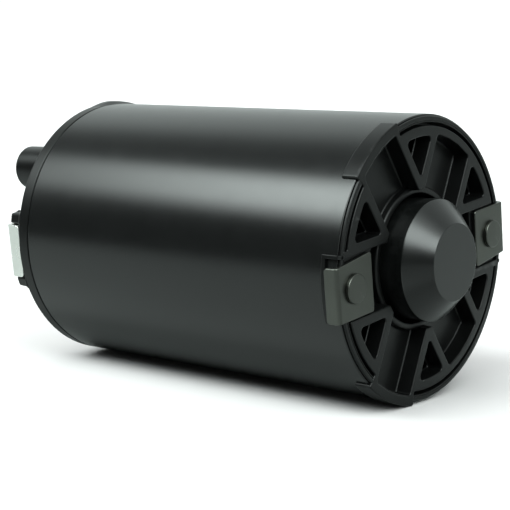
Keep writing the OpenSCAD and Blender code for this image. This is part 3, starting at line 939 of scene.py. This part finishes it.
def curve(tree, value, low, high, stops, scale):
    """Piecewise line through (value, level) stops, as a colour ramp."""
    t = math_node(tree, "DIVIDE", math_node(tree, "SUBTRACT", value, low), high - low)
    ramp = tree.nodes.new("ShaderNodeValToRGB")
    ramp.color_ramp.interpolation = "LINEAR"
    elements = ramp.color_ramp.elements
    while len(elements) > 1:
        elements.remove(elements[-1])
    for index, (spot, level) in enumerate(stops):
        element = elements[0] if index == 0 else elements.new((spot - low) / (high - low))
        element.position = (spot - low) / (high - low)
        element.color = (level / scale,) * 3 + (1,)
    tree.links.new(t, ramp.inputs["Fac"])
    return math_node(tree, "MULTIPLY", ramp.outputs["Color"], scale)


def shader_mix(tree, factor, first, second):
    node = tree.nodes.new("ShaderNodeMixShader")
    for socket, value in zip(node.inputs, (factor, first, second)):
        tree.links.new(value, socket)
    return node.outputs[0]


# ---------------------------------------------------------------- world
# Levels by the angle round the tank, from the far horizon over the top to the near horizon, and by the
# share of the direction that points forwards along the tank
ROOM = [
    (-180, 0.1), (-160, 0.1), (-120, 0.28), (-60, 0.8), (0, 0.85), (20, 0.9), (40, 1.05), (60, 1.15),
    (70, 0.9), (80, 0.45), (92, 0.25), (104, 0.3), (112, 0.3), (150, 0.2), (160, 0.1), (180, 0.1),
]
FORWARD = [(-1.0, 1.0), (0.0, 1.0), (0.2, 0.75), (0.5, 0.68), (1.0, 0.62)]
# Long softbox over the tank; its angles are moved by SKEW less 5 degrees
OVERHEAD = [(-180, 0.0), (108, 0.0), (118, 0.8), (123, 1.0), (137, 1.0), (143, 0.5), (151, 0.0)]
OVERHEAD_ALONG = [
    (-1.0, 0.4), (-0.78, 0.7), (-0.745, 1.2), (-0.72, 2.5), (-0.69, 5.8), (-0.66, 9.5), (-0.6, 12.5),
    (-0.3, 12.0), (0.2, 8.0), (0.35, 0.0),
]
SKEW = [(-0.78, 0.8), (-0.76, 0.0), (-0.66, 5.0), (-0.58, 8.0), (-0.45, 5.0)]
# Light ahead of the tank, which shows on the nose cone
AHEAD_LIGHT = [
    (-180, 0.0), (66, 0.0), (78, 0.13), (90, 0.25), (95, 0.5), (101, 0.92), (118, 1.0), (127, 1.0),
    (135, 0.78), (141, 0.2), (146, 0.0),
]
AHEAD_ALONG = [(0.2, 0.0), (0.35, 3.0), (0.5, 6.4), (0.6, 9.0), (0.75, 9.0), (1.0, 5.5)]


def light_world():
    world = bpy.data.worlds.new("studio")
    bpy.context.scene.world = world
    world.use_nodes = True
    tree = world.node_tree
    towards = parted(tree, "Generated")
    angle = math_node(tree, "ARCTAN2", towards["Z"], towards["Y"])
    around = math_node(tree, "MULTIPLY", angle, 180 / math.pi)

    def round_by(angle, stops, scale=1.0):
        return curve(tree, angle, -180, 180, stops, scale)

    def along_by(stops, scale):
        return curve(tree, towards["X"], -1, 1, stops, scale)

    skewed = math_node(tree, "SUBTRACT", around, math_node(tree, "SUBTRACT", along_by(SKEW, 10.0), 5.0))
    room = math_node(tree, "MULTIPLY", round_by(around, ROOM, 2.0), along_by(FORWARD, 2.0))
    overhead = math_node(tree, "MULTIPLY", round_by(skewed, OVERHEAD), along_by(OVERHEAD_ALONG, 20.0))
    ahead = math_node(tree, "MULTIPLY", round_by(around, AHEAD_LIGHT), along_by(AHEAD_ALONG, 20.0))
    strength = math_node(tree, "ADD", room, math_node(tree, "ADD", overhead, ahead))
    studio = tree.nodes["Background"]
    studio.inputs["Color"].default_value = (0.9, 1, 0.975, 1)
    tree.links.new(strength, studio.inputs["Strength"])
    white = tree.nodes.new("ShaderNodeBackground")
    white.inputs["Color"].default_value = (1, 1, 1, 1)
    white.inputs["Strength"].default_value = 1.05
    seen = tree.nodes.new("ShaderNodeLightPath").outputs["Is Camera Ray"]
    surface = shader_mix(tree, seen, studio.outputs[0], white.outputs[0])
    tree.links.new(surface, tree.nodes["World Output"].inputs["Surface"])


light_world()

# The floor fades out towards the camera's side, where the studio is dark. Seen in reflections, its colour
# carries painted shade: darker ahead of the tank, and a painted contact shadow along the line where the tank
# stands on it.
FADE = [(-1.2, 0.0), (-0.45, 1.0)]
AHEAD_PAINTED_SHADE = [(0.36, 1.0), (0.56, 0.52)]
BESIDE_PAINTED_SHADE = [
    (-1.0, 0.55), (-0.55, 0.62), (-0.4, 0.7), (-0.23, 0.75), (-0.14, 0.76), (-0.105, 0.73), (-0.09, 0.6),
    (-0.077, 0.42), (-0.066, 0.36), (-0.05, 0.42), (0.02, 0.6), (0.15, 0.85), (0.3, 1.0),
]


def shade_floor():
    tree = pale.node_tree
    spot = parted(tree, "Object")

    def level_by(axis, stops):
        return curve(tree, spot[axis], -2, 2, stops, 1.0)

    def colour_mix(factor, first, second):
        node = tree.nodes.new("ShaderNodeMix")
        node.data_type = "RGBA"
        for number, value in ((0, factor), (6, first), (7, second)):
            feed(tree.links, node.inputs[number], value)
        return node.outputs[2]

    # Painted shade, seen in reflections only: the floor's colour is darkened ahead of the tank and along its
    # contact line.
    painted_floor_shade = math_node(tree, "MULTIPLY", level_by("X", AHEAD_PAINTED_SHADE), level_by("Y", BESIDE_PAINTED_SHADE))
    reflected = colour_mix(painted_floor_shade, (0, 0, 0, 1), (0.48, 0.5, 0.492, 1))
    seen = tree.nodes.new("ShaderNodeLightPath").outputs["Is Camera Ray"]
    colour = colour_mix(seen, reflected, (0.525, 0.5, 0.506, 1))
    matt = tree.nodes["Principled BSDF"]
    tree.links.new(colour, matt.inputs["Base Color"])
    clear = tree.nodes.new("ShaderNodeBsdfTransparent")
    surface = shader_mix(tree, level_by("Y", FADE), clear.outputs[0], matt.outputs[0])
    tree.links.new(surface, tree.nodes["Material Output"].inputs["Surface"])


shade_floor()

# ---------------------------------------------------------------- lights
fill_data = bpy.data.lights.new("floor_fill", "SUN")
fill_data.energy = 1.0
fill_data.angle = math.radians(60)
floor_fill = bpy.data.objects.new("floor_fill", fill_data)
floor_fill.rotation_euler = (math.radians(8), math.radians(-6), 0)
floor_fill.visible_glossy = False
bpy.context.scene.collection.objects.link(floor_fill)

# ---------------------------------------------------------------- camera
CAMERA_FROM = Vector((FRONT_X + 0.55984, -0.8478, 0.1428))
CAMERA_TOWARDS = Vector((-0.637, 0.759, -0.1374))
camera_data = bpy.data.cameras.new("camera")
camera_data.lens = 104.28
camera_data.sensor_width = 36.0
camera = bpy.data.objects.new("camera", camera_data)
camera.location = CAMERA_FROM
camera.rotation_euler = CAMERA_TOWARDS.to_track_quat("-Z", "Y").to_euler()
bpy.context.scene.collection.objects.link(camera)
scene = bpy.context.scene
scene.camera = camera
scene.view_settings.view_transform = "Standard"
scene.view_settings.look = "None"
